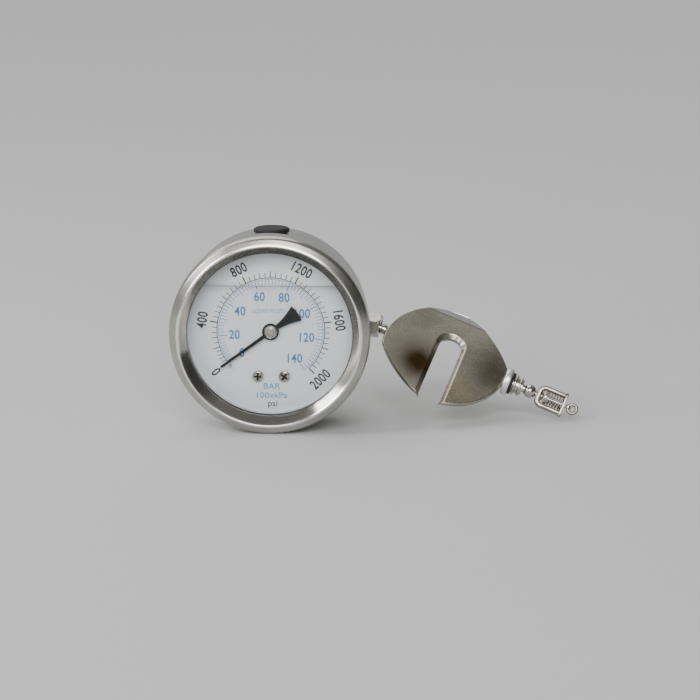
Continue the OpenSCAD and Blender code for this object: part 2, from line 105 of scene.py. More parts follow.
def turned(profile, place, steps):
    """Revolved grid of a profile's (radius, place) points: one row for each angle."""
    return polar(profile[:, 1], profile[:, 0], circle(steps)[:, None], place)


def swept(spine, side, up, section, scale):
    """Section of (s, u) points carried along a spine: spine + scale (s side + u up). A scale of
    0 at the ends closes them. Side and up are one axis, or one for each spine point."""
    section = np.asarray(scale, float)[:, None, None] * section
    side, up = (np.broadcast_to(axis, spine.shape)[:, None] for axis in (side, up))
    return spine[:, None] + section[..., :1] * side + section[..., 1:] * up


def oblong(half_side, half_up, power, steps):
    """Superellipse section: side |cos|^(2/power) and up |sin|^(2/power), with their signs."""
    a = circle(steps)
    bend = lambda wave: np.sign(wave) * np.abs(wave) ** (2 / power)
    return np.stack([half_side * bend(np.cos(a)), half_up * bend(np.sin(a))], -1)


def placed(name, data):
    """New object of some data, in the scene."""
    made = bpy.data.objects.new(name, data)
    bpy.context.scene.collection.objects.link(made)
    return made


def shell(name, *grids, sharp=40):
    """One object from (m, n, 3) grids in millimetres. Quads join neighbours, the last column
    joins the first, each grid says if its last row does too, and coinciding points are merged."""
    points, faces, base = [], [], 0
    for grid, closed in grids:
        rows, cols = grid.shape[:2]
        index = base + np.arange(rows * cols).reshape(rows, cols)
        index = np.hstack([index, index[:, :1]])
        if closed:
            index = np.vstack([index, index[:1]])
        quad = [index[:-1, :-1], index[1:, :-1], index[1:, 1:], index[:-1, 1:]]
        faces.append(np.stack(quad, -1).reshape(-1, 4))
        points.append(grid.reshape(-1, 3))
        base += rows * cols
    mesh = bpy.data.meshes.new(name)
    mesh.from_pydata((np.vstack(points) * MM).tolist(), [], np.vstack(faces).tolist())
    build = bmesh.new()
    build.from_mesh(mesh)
    bmesh.ops.remove_doubles(build, verts=build.verts, dist=1e-6)
    bmesh.ops.dissolve_degenerate(build, edges=build.edges, dist=1e-7)
    loose = [edge for edge in build.edges if not edge.link_faces]
    bmesh.ops.delete(build, geom=loose, context="EDGES")
    bmesh.ops.recalc_face_normals(build, faces=build.faces)
    build.to_mesh(mesh)
    build.free()
    mesh.polygons.foreach_set("use_smooth", np.ones(len(mesh.polygons), bool))
    mesh.set_sharp_from_angle(angle=math.radians(sharp))
    return placed(name, mesh)


def spun(name, profile, place, steps, sharp=40):
    """One object from one closed profile, revolved."""
    return shell(name, (turned(profile, place, steps), True), sharp=sharp)


class Wire:
    """A node's output socket. Sums, differences, products and powers add Math nodes."""

    def __init__(self, finish, socket):
        self.finish, self.socket = finish, socket

    def operator(operation, swap=False):
        """Method that adds one Math node, with the wire second where swap is True."""
        def method(self, other):
            values = {0: other, 1: self} if swap else {0: self, 1: other}
            return self.finish.node("ShaderNodeMath", {"operation": operation}, values)
        return method

    __add__, __mul__, __pow__ = operator("ADD"), operator("MULTIPLY"), operator("POWER")
    __sub__, __rsub__ = operator("SUBTRACT"), operator("SUBTRACT", swap=True)

    def ramp(self, low, high, to_low=0.0, to_high=1.0):
        """Smooth step of the wire from low to high, onto to_low to to_high."""
        values = {"Value": self, "From Min": low, "From Max": high,
                  "To Min": to_low, "To Max": to_high}
        return self.finish.node("ShaderNodeMapRange", {"interpolation_type": "SMOOTHSTEP"}, values)


class Finish:
    """A material round one Principled shader, whose own sockets take the uniform values."""

    def __init__(self, name, **uniform):
        self.material = bpy.data.materials.new(name)
        self.material.use_nodes = True
        self.tree = self.material.node_tree
        self.shader = self.tree.nodes["Principled BSDF"]
        for socket, value in uniform.items():
            self.feed(socket.replace("_", " "), value)

    def feed(self, socket, value):
        self.plug(self.shader.inputs[socket], value)

    def plug(self, target, value):
        if isinstance(value, Wire):
            self.tree.links.new(value.socket, target)
        elif isinstance(value, tuple) and len(value) == 3 and target.type == "RGBA":
            target.default_value = (*value, 1)
        else:
            target.default_value = value

    def node(self, kind, settings=None, values=None, out=0):
        made = self.tree.nodes.new(kind)
        for key, value in (settings or {}).items():
            setattr(made, key, value)
        for key, value in (values or {}).items():
            self.plug(made.inputs[key], value)
        return Wire(self, made.outputs[out])

    def place(self):
        return self.node("ShaderNodeTexCoord", out="Object")

    def axis(self, letter):
        return self.node("ShaderNodeSeparateXYZ", None, {0: self.place()}, out=letter)

    def noise(self, scale, detail, rough, at=None):
        values = {"Vector": at or self.place(), "Scale": scale, "Detail": detail,
                  "Roughness": rough}
        return self.node("ShaderNodeTexNoise", None, values)

    def stretched(self, scale):
        return self.node("ShaderNodeMapping", None, {"Vector": self.place(), "Scale": scale})

    def mix(self, factor, low, high):
        return self.node("ShaderNodeMix", {"data_type": "RGBA"}, {0: factor, 6: low, 7: high}, out=2)

    def bump(self, height, strength, distance):
        values = {"Strength": strength, "Distance": distance, "Height": height}
        self.feed("Normal", self.node("ShaderNodeBump", None, values))

    def paint(self, *pieces):
        for piece in pieces:
            piece.data.materials.clear()
            piece.data.materials.append(self.material)


def fit(piece, body, slot, *stands_for):
    """The piece rides on a body and stands for these CAD nodes, which are hidden; the slot is not used."""
    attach(piece, body)
    if stands_for:
        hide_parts(*stands_for)


def nodes(*names):
    """The CAD nodes of these names, as a list."""
    return [frame["nodes"][name] for name in names]


case_low, case_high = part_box("case")
case_r = (case_high[0] - case_low[0]) / 2 / MM
case_end = case_high[1] / MM - front
case_start = case_low[1] / MM - front
floor_at = case_end - 1.2
inner_r = case_r - 0.9
boss_r = 7
hole_r = boss_r + 0.1
case_profile = rounded([
    (case_r, case_start, 0), (case_r, case_end, 2.4), (hole_r, case_end, 0.15),
    (hole_r, floor_at, 0.15), (inner_r, floor_at, 1.4), (inner_r, case_start, 0)], 12)
case = spun("case_drum", case_profile, gauge, 256)
fit(case, "gauge", "case_steel", "case")

drawn = Finish("Case_satin_steel", Metallic=1.0, Anisotropic=0.45)
turn_marks = drawn.noise(1.0, 3, 0.6, drawn.stretched((70, 2600, 70)))
hand_marks = drawn.noise(55, 5, 0.6)
case_tone = drawn.mix(hand_marks.ramp(0.35, 0.7), (0.40, 0.395, 0.375), (0.48, 0.475, 0.455))
drawn.feed("Base Color", case_tone)
drawn.feed("Roughness", turn_marks * 0.10 + hand_marks * 0.12 + 0.14)
drawn.bump(turn_marks, 0.10, 0.00005)
drawn.paint(case)


# ---- Bezel ------------------------------------------------------------------------------------
# A rolled ring of polished stainless holds the window: a flat outer band, a narrow crest and an
# inner cone down to the glass. It is pressed over the case's open rim. Along the crest a painted
# highlight turns the base colour near white.

bezel_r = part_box("bezel_ring")[1][0] / MM
opening_r = 28.3
crest_r = 31.25
bezel_profile = rounded([
    (bezel_r, 8.6, 0.35), (bezel_r, 2.6, 0.8), (bezel_r - 0.75, 1.3, 0.5),
    (crest_r + 0.55, 0.22, 0.3),
    (crest_r, 0, 0.22), (crest_r - 0.35, 0.3, 0.2), (opening_r + 0.25, 2.75, 0.25),
    (opening_r, 3.1, 0.15), (opening_r, 3.65, 0.1), (case_r + 0.05, 3.65, 0),
    (case_r + 0.05, 8.6, 0.1)], 9)
bezel = spun("bezel", bezel_profile, gauge, 320, sharp=50)
fit(bezel, "gauge", "bezel_steel", "bezel_ring")

rolled = Finish("Bezel_polished_steel", Metallic=1.0, Anisotropic=0.3)
across, height = rolled.axis("X"), rolled.axis("Z")
radius = (across * across + height * height) ** 0.5
lathe = rolled.noise(2600, 2, 0.5, rolled.node("ShaderNodeCombineXYZ", None, {0: radius}))
rub = rolled.noise(90, 6, 0.65)
CREST_RISE, CREST_FALL, BAND_RISE = (0.0305, 0.0310), (0.0316, 0.0321), (0.0314, 0.0320)
satin_band = radius.ramp(*BAND_RISE)
# Painted highlight: a near-white ring of base colour along the crest, between CREST_RISE and CREST_FALL.
crest_highlight = radius.ramp(*CREST_RISE) * (1 - radius.ramp(*CREST_FALL))
steel_tone = rolled.mix(rub.ramp(0.3, 0.75), (0.42, 0.405, 0.38), (0.52, 0.505, 0.48))
rolled.feed("Base Color", rolled.mix(crest_highlight, steel_tone, (0.93, 0.92, 0.90)))
rolled.feed("Roughness", satin_band * 0.14 + lathe * 0.06 + rub * 0.09 + 0.05)
rolled.bump(lathe, 0.07, 0.00004)
rolled.paint(bezel)


# ---- Window, gasket and spacer ----------------------------------------------------------------
# A clear disc with ground edges lies in the bezel on a black rubber gasket. Behind it a pale
# ring, whose wall shows through the window, holds the dial at its depth.

window_low, window_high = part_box("window")
window_r = window_high[0] / MM
window_at = window_low[1] / MM - front
window_end = window_high[1] / MM - front
window_profile = rounded([(0, window_at, 0), (window_r, window_at, 0.25),
                          (window_r, window_end, 0.25), (0, window_end, 0)])
window = spun("window_disc", window_profile, gauge, 160)
fit(window, "gauge", "window_glass", "window")


def clear(name, tint, ior):
    """Clear finish: light passes straight through, and a share of it is mirrored that grows
    towards the edge of view, as Fresnel's law says."""
    made = Finish(name)
    through = made.node("ShaderNodeBsdfTransparent", None, {"Color": tint})
    mirror = made.node("ShaderNodeBsdfGlossy", None, {"Color": (1.0, 1.0, 1.0), "Roughness": 0.0})
    share = made.node("ShaderNodeFresnel", None, {"IOR": ior})
    both = made.node("ShaderNodeMixShader", None, {0: share, 1: through, 2: mirror})
    made.tree.nodes.remove(made.shader)
    made.plug(made.tree.nodes["Material Output"].inputs["Surface"], both)
    return made


clear("Window_glass", (0.995, 0.998, 1.0), 1.28).paint(window)

moulded = Finish("Black_rubber", Specular_IOR_Level=0.35)
skin = moulded.noise(900, 5, 0.6)
dust = moulded.noise(140, 6, 0.7)
rubber_tone = moulded.mix(dust.ramp(0.5, 0.8), (0.012, 0.012, 0.012), (0.05, 0.048, 0.045))
moulded.feed("Base Color", rubber_tone)
moulded.feed("Roughness", dust * 0.25 + 0.5)
moulded.bump(skin, 0.35, 0.00006)
moulded.paint(*nodes("window_gasket", "stem_seal", "groove_washer"))


def grained(name, grain, low, high, rough, bump, span=None, stretch=None, **uniform):
    """Finish that follows one noise: colour from low to high, over a span of the noise where one
    is given, roughness of gain times noise plus a base, and a bump of (strength, distance)."""
    made = Finish(name, **uniform)
    wave = made.noise(*grain, made.stretched(stretch) if stretch else None)
    made.tone = made.mix(wave.ramp(*span) if span else wave, low, high)
    made.feed("Base Color", made.tone)
    made.feed("Roughness", wave * rough[0] + rough[1])
    made.bump(wave, *bump)
    return made


spacer = grained("Spacer_grey", (600, 3, 0.5), (0.52, 0.53, 0.535), (0.60, 0.61, 0.615),
                 (0.15, 0.38), (0.12, 0.00004), Specular_IOR_Level=0.4)
spacer.paint(*nodes("spacer_ring"))


# ---- Liquid -----------------------------------------------------------------------------------
# Clear glycerine fills the space between window and dial up to a level above the centre, and
# climbs a little up both walls. Air is left above it.

level = 16.0
climb = 0.55
wet_r = opening_r + 0.75
dial_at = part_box("dial")[0][1] / MM - front
wet = np.linspace(window_end + 0.03, dial_at - 0.08, 17)
reach = np.minimum(wet - wet[0], wet[-1] - wet)
x = wet_r * np.sin(np.linspace(-np.pi / 2, np.pi / 2, 121))[:, None]
chord = np.sqrt(np.maximum(wet_r ** 2 - x ** 2, 0))
surface = np.minimum(level + climb * np.exp(-reach / 0.45)[None], chord)
loop_depth = np.concatenate([wet, wet[::-1]])[None] + 0 * x
loop_height = np.hstack([surface, -chord + 0 * wet[None]])
loops = put(np.stack([loop_depth, x + 0 * loop_depth, loop_height], -1), gauge)
liquid = shell("glycerine", (loops, False), sharp=30)
fit(liquid, "gauge", "window_glass")
clear("Glycerine", (0.99, 0.996, 1.0), 1.12).paint(liquid)


# ---- Dial -------------------------------------------------------------------------------------
# A white enamelled plate with a black outer scale in psi and a blue inner scale in bar. The
# print is a few hundredths of a millimetre thick. The first tenth of the scale is squeezed.

PSI_LAST, BAR_LAST, PSI_PER_BAR = 2000, 140, 14.504
SQUEEZE_TO = 200
ZERO_ANGLE, LINEAR_FROM, DEGREES_PER_PSI = 217.3, 225, 0.135
PRINT_T = 0.03
print_face = dial_at - PRINT_T


def psi_angle(value):
    """Angle of a reading, counterclockwise from three o'clock: linear above the squeeze, and
    below it linear again from the zero mark's own angle."""
    value = np.asarray(value, float)
    joined = LINEAR_FROM - DEGREES_PER_PSI * SQUEEZE_TO
    squeezed = ZERO_ANGLE - (ZERO_ANGLE - joined) * value / SQUEEZE_TO
    return np.radians(np.where(value < SQUEEZE_TO, squeezed, LINEAR_FROM - DEGREES_PER_PSI * value))


def bar_angle(value):
    """Angle of a reading in bar, through its value in psi."""
    return psi_angle(np.asarray(value, float) * PSI_PER_BAR)


def ticks(angles, inner, outer, width):
    """Thin radial boxes: each is a closed loop of four corners at its inner and its outer end."""
    angles = np.asarray(angles)
    along = np.stack([0 * angles, np.cos(angles), np.sin(angles)], -1)
    side = np.stack([0 * angles, -np.sin(angles), np.cos(angles)], -1)
    out = []
    for r, half in ((inner, 0.0), (inner, width / 2), (outer, width / 2), (outer, 0.0)):
        ring = [along * r + side * half * s + np.array([d, 0, 0]) for s, d in
                ((1, print_face), (1, dial_at), (-1, dial_at), (-1, print_face))]
        out.append(np.stack(ring, 1))
    return [(put(np.stack([row[k] for row in out]), gauge), False) for k in range(len(angles))]


def arc(first, last, r, width):
    """Thin flat arc: a closed rectangle carried round the dial's centre."""
    a = np.linspace(first, last, 200)[:, None]
    ends = np.ones((200, 1))
    ends[[0, -1]] = 0
    radius = r + ends * np.array([[-1, 1, 1, -1]]) * width / 2
    return [(polar(np.array([print_face, print_face, dial_at, dial_at]), radius, a, gauge), False)]


SCALE_R = 18.6
readings = np.arange(0, PSI_LAST + 1, 40)
plain = readings[readings % 200 != 0]
middle = readings[(readings % 200 == 0) & (readings % 400 != 0)]
numbered = readings[readings % 400 == 0]
black_scale = shell(
    "psi_scale",
    *arc(psi_angle(0), psi_angle(PSI_LAST), SCALE_R, 0.26),
    *ticks(psi_angle(plain), SCALE_R, SCALE_R + 1.8, 0.25),
    *ticks(psi_angle(middle), SCALE_R, SCALE_R + 2.3, 0.3),
    *ticks(psi_angle(numbered), SCALE_R, SCALE_R + 2.6, 0.42))
bars = np.arange(0, BAR_LAST + 1, 2)
BLUE_R = 18.05
blue_scale = shell(
    "bar_scale",
    *arc(bar_angle(0), bar_angle(BAR_LAST), BLUE_R, 0.15),
    *ticks(bar_angle(bars[bars % 10 != 0]), BLUE_R - 1.8, BLUE_R, 0.17),
    *ticks(bar_angle(bars[(bars % 10 == 0) & (bars % 20 != 0)]), BLUE_R - 2.2, BLUE_R, 0.2),
    *ticks(bar_angle(bars[bars % 20 == 0]), BLUE_R - 2.8, BLUE_R, 0.25))


DIGIT_SHARE = 0.72


def letters(name, labels):
    """One object of printed words from (text, height, squeeze, weight, x, z, turn) labels. A
    digit is a fixed share of the type's size."""
    build = bmesh.new()
    for text, height, squeeze, weight, x, z, turn in labels:
        curve = bpy.data.curves.new(name, "FONT")
        curve.body = text
        curve.size = height / DIGIT_SHARE
        curve.offset = weight
        curve.align_x = "CENTER"
        curve.align_y = "CENTER"
        curve.extrude = PRINT_T / 2
        curve.space_character = 1.0 + weight * 3 / height
        word = placed(name, curve)
        bpy.context.view_layer.update()
        shaped = word.evaluated_get(bpy.context.evaluated_depsgraph_get())
        mesh = bpy.data.meshes.new_from_object(shaped)
        upright = Matrix(((squeeze, 0, 0, 0), (0, 0, -1, 0), (0, 1, 0, 0), (0, 0, 0, 1)))
        lows = [min(v.co[k] for v in mesh.vertices) for k in (0, 1)]
        highs = [max(v.co[k] for v in mesh.vertices) for k in (0, 1)]
        centre = Vector(((lows[0] + highs[0]) / 2, (lows[1] + highs[1]) / 2, 0))
        spin = Matrix.Rotation(-turn, 4, "Y")
        place = Matrix.Translation(Vector((x, front + dial_at - PRINT_T / 2, z)))
        mesh.transform(Matrix.Scale(MM, 4) @ place @ spin @ upright @ Matrix.Translation(-centre))
        build.from_mesh(mesh)
        bpy.data.objects.remove(word)
        bpy.data.meshes.remove(mesh)
    bmesh.ops.remove_doubles(build, verts=build.verts, dist=1e-7)
    bmesh.ops.recalc_face_normals(build, faces=build.faces)
    mesh = bpy.data.meshes.new(name)
    build.to_mesh(mesh)
    build.free()
    return placed(name, mesh)


NUMBER_R, BLUE_NUMBER_R = 24.0, 12.65
black_words = []
for value in numbered:
    angle = float(psi_angle(value))
    turn = angle - math.pi / 2 if value < PSI_LAST else angle + math.pi / 2
    spot = (NUMBER_R * math.cos(angle), NUMBER_R * math.sin(angle))
    black_words.append((str(value), 3.45, 0.76, 0.1, *spot, turn))
black_words.append(("psi", 2.1, 1.06, 0.02, 0.5, -26.0, 0))
blue_words = []
for value in range(0, BAR_LAST + 1, 20):
    angle = float(bar_angle(value))
    spot = (BLUE_NUMBER_R * math.cos(angle), BLUE_NUMBER_R * math.sin(angle))
    blue_words.append((str(value), 3.15, 0.84, 0.08, *spot, 0))
pale_words = [("BAR", 2.15, 1.04, 0.05, 0.3, -19.5, 0), ("100xkPa", 2.0, 1.12, 0.04, 0.3, -22.7, 0),
              ("LIQUID FILLED", 1.5, 0.85, 0.0, -0.8, 6.9, 0)]
black_print = letters("psi_numbers", black_words)
blue_print = letters("bar_numbers", blue_words)
pale_print = letters("dial_note", pale_words)
for piece in (black_scale, blue_scale, black_print, blue_print, pale_print):
    fit(piece, "gauge", "dial_white")

enamel = Finish("Dial_white", Roughness=0.42, Specular_IOR_Level=0.3)
cloud = enamel.noise(60, 4, 0.6)
enamel.feed("Base Color", enamel.mix(cloud, (0.86, 0.875, 0.89), (0.90, 0.91, 0.92)))
enamel.bump(enamel.noise(1400, 2, 0.5), 0.04, 0.00003)
enamel.paint(*nodes("dial"))


def ink(name, low, high):
    """Printing ink: a matte colour with a faint screen-print mottle."""
    made = Finish(name, Specular_IOR_Level=0.25)
    mottle = made.noise(1600, 3, 0.6)
    made.feed("Base Color", made.mix(mottle, low, high))
    made.feed("Roughness", mottle * 0.2 + 0.45)
    return made


ink("Ink_black", (0.012, 0.012, 0.014), (0.03, 0.03, 0.034)).paint(black_scale, black_print)
ink("Ink_blue", (0.02, 0.19, 0.48), (0.035, 0.23, 0.54)).paint(blue_scale, blue_print)
ink("Ink_pale_blue", (0.10, 0.33, 0.60), (0.14, 0.38, 0.66)).paint(pale_print)


# ---- Dial screws and stop pin -----------------------------------------------------------------
# Two pan-head screws with a cross recess hold the dial to its posts. A small pin stops the
# pointer at zero. All are bright nickel; the screws' cross recesses have painted shade, near black.

screw_low, screw_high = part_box("dial_screws")
screw_head_r = 1.95
screw_x = screw_high[0] / MM - screw_head_r
screw_z = (screw_low[2] + screw_high[2]) / 2 / MM
head_at = screw_low[1] / MM - front
head_h = 1.05
CROSS_HALF, CROSS_REACH, CROSS_DEPTH = 0.3, 1.25, 0.55
EDGE_DROP = 0.36


def screw_head(x, z, turn):
    """Dome over (r, a): the height falls as r squared and turns down at the rim, less a cross
    whose depth is a smooth step of the distance to its arms."""
    share = np.linspace(0, 0.95, 40)
    r = screw_head_r * np.concatenate([share, [0.985, 1.0, 1.0, 0.0]])[None]
    drop = np.concatenate([0.28 * share ** 2, [EDGE_DROP, 0.5, head_h, head_h]])[None]
    a = circle(96)[:, None]
    u, w = r * np.cos(a - turn), r * np.sin(a - turn)
    arm = np.maximum(np.minimum(np.abs(u), np.abs(w)) - CROSS_HALF,
                     np.maximum(np.abs(u), np.abs(w)) - CROSS_REACH)
    cross = np.clip(0.5 - arm / 0.12, 0, 1) * (drop < 0.34)
    depth = head_at + drop + CROSS_DEPTH * cross
    return put(np.stack([depth, x + r * np.cos(a), z + r * np.sin(a)], -1), gauge), False


def shank(x, z):
    """Plain shank behind a head."""
    moved = (gauge[0] + np.array([x, 0, z]), gauge[1])
    start, end, r = dial_at - 0.5, dial_at + 2.1, 0.9
    profile = rounded([(0, start, 0), (r, start, 0), (r, end, 0.2), (0, end, 0)])
    return turned(profile, moved, 24), False


heads = [screw_head(side * screw_x, screw_z, 0.45 + 0.5 * side) for side in (-1, 1)]
shanks = [shank(side * screw_x, screw_z) for side in (-1, 1)]
dial_screws = shell("dial_screw_pair",
                    *[(grid.transpose(1, 0, 2), closed) for grid, closed in heads + shanks])
fit(dial_screws, "gauge", "nickel_screws", "dial_screws")

plated, small_parts = [
    grained(name, (420, 5, 0.6), (0.36, 0.32, 0.26), (0.58, 0.55, 0.49), (0.2, 0.12),
            (0.15, 0.00003), span=(0.3, 0.7), Metallic=1.0)
    for name in ("Nickel_screws", "Nickel_small_parts")]
head_y = front + head_at
# Painted shade: below the rim's drop the cross recess is near black.
recess_shade = plated.axis("Y").ramp((head_y + EDGE_DROP) * MM, (head_y + 0.5) * MM)
plated.feed("Base Color", plated.mix(recess_shade, plated.tone, (0.03, 0.028, 0.025)))
plated.paint(dial_screws)
small_parts.paint(*nodes("stop_pin", "socket_screws", "plate_screws"))


# ---- Pointer ----------------------------------------------------------------------------------
# A black painted lance with a fan tail is stamped from sheet and riveted to a turned bush, which
# is pressed on the arbor.

hub_low, hub_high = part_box("pointer_hub")
hub_front = hub_low[1] / MM - front
hub_back = hub_high[1] / MM - front
BUSH_R, COLLAR_R = 1.97, 2.28
hub_profile = rounded([
    (0, hub_front + 0.28, 0), (0.45, hub_front + 0.28, 0.05), (0.5, hub_front + 0.02, 0.05),
    (0.95, hub_front, 0.1), (1.15, hub_front + 0.22, 0.1), (1.8, hub_front + 0.3, 0.15),
    (BUSH_R, hub_front + 0.55, 0.1), (BUSH_R, hub_front + 0.3 + 0.24, 0),
    (COLLAR_R, hub_front + 0.31, 0.03), (COLLAR_R, hub_front + 0.46, 0.03),
    (BUSH_R, hub_front + 0.47, 0.02), (BUSH_R, hub_back, 0.05), (0, hub_back, 0)], 5)
hub = spun("pointer_bush", hub_profile, gauge, 72)
fit(hub, "pointer", "hub_nickel", "pointer_hub")
grained("Pointer_bush", (700, 5, 0.6), (0.42, 0.40, 0.36), (0.58, 0.56, 0.52), (0.2, 0.22),
        (0.1, 0.00003), span=(0.35, 0.65), Metallic=1.0).paint(hub)
grained("Pointer_black", (1500, 3, 0.6), (0.003, 0.003, 0.003), (0.008, 0.008, 0.009), (0.2, 0.4),
        (0.12, 0.00003), Specular_IOR_Level=0.12).paint(*nodes("pointer"))


# ---- Filling plug -----------------------------------------------------------------------------
# A moulded rubber plug with a wide flange is pressed through the case's wall after filling.

plug_low, plug_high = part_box("fill_plug")
plug_top = plug_high[2] / MM
plug_low_z = plug_low[2] / MM
flange_r = plug_high[0] / MM
plug_y = (plug_low[1] + plug_high[1]) / 2 / MM
plug_axis = (np.array([0, plug_y, 0]), np.array([[0, 0, 1], [1, 0, 0], [0, 1, 0]]))
PLUG_R, BEAD_R = 5, 5.4
bead_top = plug_low_z + 1.4
plug_profile = rounded([
    (0, plug_low_z, 0), (BEAD_R, plug_low_z, 0.4), (BEAD_R, bead_top, 0.2), (PLUG_R, bead_top, 0.1),
    (PLUG_R, case_r + 0.02, 0.1), (flange_r, case_r + 0.1, 0.1), (flange_r, plug_top - 0.6, 0.4),
    (flange_r - 0.8, plug_top - 0.15, 0.5), (2.5, plug_top, 0.6), (0, plug_top, 0)], 8)
fill_plug = spun("filling_plug", plug_profile, plug_axis, 96, sharp=60)
fit(fill_plug, "gauge", "black_rubber", "fill_plug")
moulded.paint(fill_plug)


# ---- Movement ---------------------------------------------------------------------------------
# Brass plates, pillars, sector and posts, a bronze Bourdon tube and hairspring, and steel arbors
# and link. All of it is behind the dial.

machined = Finish("Machined_brass", Metallic=1.0)
stain = machined.noise(160, 6, 0.65)
cut = machined.noise(1.0, 2, 0.5, machined.stretched((300, 4000, 300)))
brass_tone = machined.mix(stain.ramp(0.4, 0.75), (0.75, 0.56, 0.24), (0.50, 0.34, 0.14))
machined.feed("Base Color", brass_tone)
machined.feed("Roughness", stain * 0.2 + cut * 0.1 + 0.15)
machined.bump(cut, 0.15, 0.00004)
machined.paint(*nodes("dial_posts", "restrictor", "tube_tip", "back_plate", "front_plate",
                      "plate_pillars", "sector_gear", "spring_stud"))

bronze = grained("Drawn_bronze", (220, 6, 0.6), (0.62, 0.38, 0.18), (0.42, 0.25, 0.12),
                 (0.25, 0.2), (0.12, 0.00005), Metallic=1.0)
bronze.paint(*nodes("bourdon_tube", "hairspring"))

arbor = grained("Arbor_steel", (1.0, 3, 0.5), (0.46, 0.46, 0.45), (0.60, 0.60, 0.59),
                (0.15, 0.18), (0.12, 0.00003), stretch=(500, 5000, 500), Metallic=1.0)
arbor.paint(*nodes("sector_shaft", "pinion", "link", "link_pin"))


# ---- Socket and stem --------------------------------------------------------------------------
# The brass socket is a forged block inside the case. Its boss comes out through the back and
# ends in a pipe thread of 18 turns to the inch.

THREAD_PITCH = 25.4 / 18
THREAD_DEPTH = 0.75
THREAD_R = 6.6
socket_low, socket_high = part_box("back_socket")
stem_end = socket_high[1] / MM - front
socket_at = socket_low[1] / MM - front
thread_start = stem_end - frame["record"]["mounts"][0]["dims"]["length_mm"]
boss_end = thread_start - 1.5
NECK_DOWN_R, PORT_R, BORE_R = 5.7, 2.6, 1.8


def threaded(steps=144):
    """Revolved stem whose radius falls, along the thread, by a rounded triangle wave of
    (h / pitch - a / full turn), faded in and out at the thread's ends."""
    h = np.arange(thread_start + 0.1, stem_end - 0.1, THREAD_PITCH / 14)
    corners = rounded([(BORE_R, floor_at - 1, 0), (boss_r, floor_at - 1, 0.1),
                       (boss_r, boss_end, 0.6), (NECK_DOWN_R, boss_end, 0.2),
                       (NECK_DOWN_R, thread_start, 0.1)], 6)
    ends = np.array([[PORT_R, stem_end], [PORT_R, stem_end - 4], [BORE_R, stem_end - 4]])
    profile = np.vstack([corners, np.stack([0 * h + THREAD_R, h], -1), ends])
    cutting = np.concatenate([np.zeros(len(corners)), np.ones(len(h)), np.zeros(3)])
    fade = np.minimum(profile[:, 1] - thread_start, stem_end - profile[:, 1])
    a = circle(steps)[:, None]
    wave = np.abs(((profile[:, 1] / THREAD_PITCH)[None] - a / (2 * np.pi)) % 1 * 2 - 1)
    wave = np.clip(wave * 1.25 - 0.125, 0, 1)
    cut_depth = THREAD_DEPTH * wave * np.clip(fade, 0, 1) + 0.7 * np.clip(1 - fade, 0, 1)
    r = profile[:, 0] - cutting * cut_depth
    return polar(profile[:, 1], r, a, gauge)


def block(low, high, rounding, rings=7):
    """Forged block: an oblong section carried along depth, drawn in over its rounded ends."""
    centre, half = (low + high) / 2, (high - low) / 2
    t = np.linspace(-np.pi / 2, np.pi / 2, 2 * rings)
    bend = np.sign(np.sin(t)) * np.abs(np.sin(t)) ** (2 / rounding)
    grow = np.abs(np.cos(t)) ** (2 / rounding)
    spine = centre + np.outer(bend * half[1], [0, 1, 0])
    section = oblong(half[0], half[2], rounding, 64)
    return swept(spine, [1, 0, 0], [0, 0, 1], section, grow), False


BLOCK_HALF, BLOCK_FOOT, BLOCK_TOP = 7.5, -25.0, 8.0
block_low = np.array([-BLOCK_HALF, front + socket_at, BLOCK_FOOT])
block_high = np.array([BLOCK_HALF, front + floor_at, BLOCK_TOP])
socket = shell("brass_socket", (threaded(), True), block(block_low, block_high, 10), sharp=50)
fit(socket, "gauge", "brass", "back_socket")
machined.paint(socket)


# ---- Clamp collar and swivel ------------------------------------------------------------------
# A plated collar is clamped on the boss. Its arm ends in a ball seat, and a chamfered hex nut
# holds the tail's ball in it.

ball = np.array(joints["tail_nod"]["pos_m"]) / MM
along = np.array(joints["disc_spin"]["axis"])
nod = np.array(joints["tail_nod"]["axis"])
lift = np.cross(along, nod)
SEAT_RISE = math.radians(9)
seat_along = math.cos(SEAT_RISE) * along + math.sin(SEAT_RISE) * lift
seat = (ball, np.array([seat_along, nod, np.cross(seat_along, nod)]))
tail = (ball, np.array([along, nod, lift]))

NUT_HALF, NUT_R, NUT_SPHERE = 2.6, 4.4, 4.75
NUT_BACK_R, NUT_FRONT_R = 2.95, 2.5


def hex_nut(steps=192):
    """Nut over (a, h): radius = the least of the hexagon, flat / cos(a within its side), and the
    ball-shaped chamfer, root of (sphere squared - h squared); then the bore back."""
    h = np.concatenate([[-NUT_HALF], np.linspace(-NUT_HALF, NUT_HALF, 40), [NUT_HALF]])
    a = circle(steps)[:, None]
    side = (a + np.pi / 6) % (np.pi / 3) - np.pi / 6
    hexagon = NUT_R * math.cos(math.pi / 6) / np.cos(side + 0 * a)
    chamfer = np.sqrt(NUT_SPHERE ** 2 - h ** 2)[None]
    outer = 1 / (hexagon ** -24 + chamfer ** -24) ** (1 / 24)
    outer[:, [0, -1]] = [NUT_BACK_R, NUT_FRONT_R]
    bore_h = np.array([NUT_HALF - 0.5, 1.2, 0.6, -NUT_HALF + 0.3])
    bore_r = np.array([2.1, 1.75, 2.6, NUT_BACK_R])
    r = np.hstack([outer, bore_r[None] + 0 * a])
    return polar(np.concatenate([h, bore_h]), r, a, seat)


nut = shell("seat_nut", (hex_nut(), True), sharp=28)
fit(nut, "gauge", "nickel", "swivel_nut")

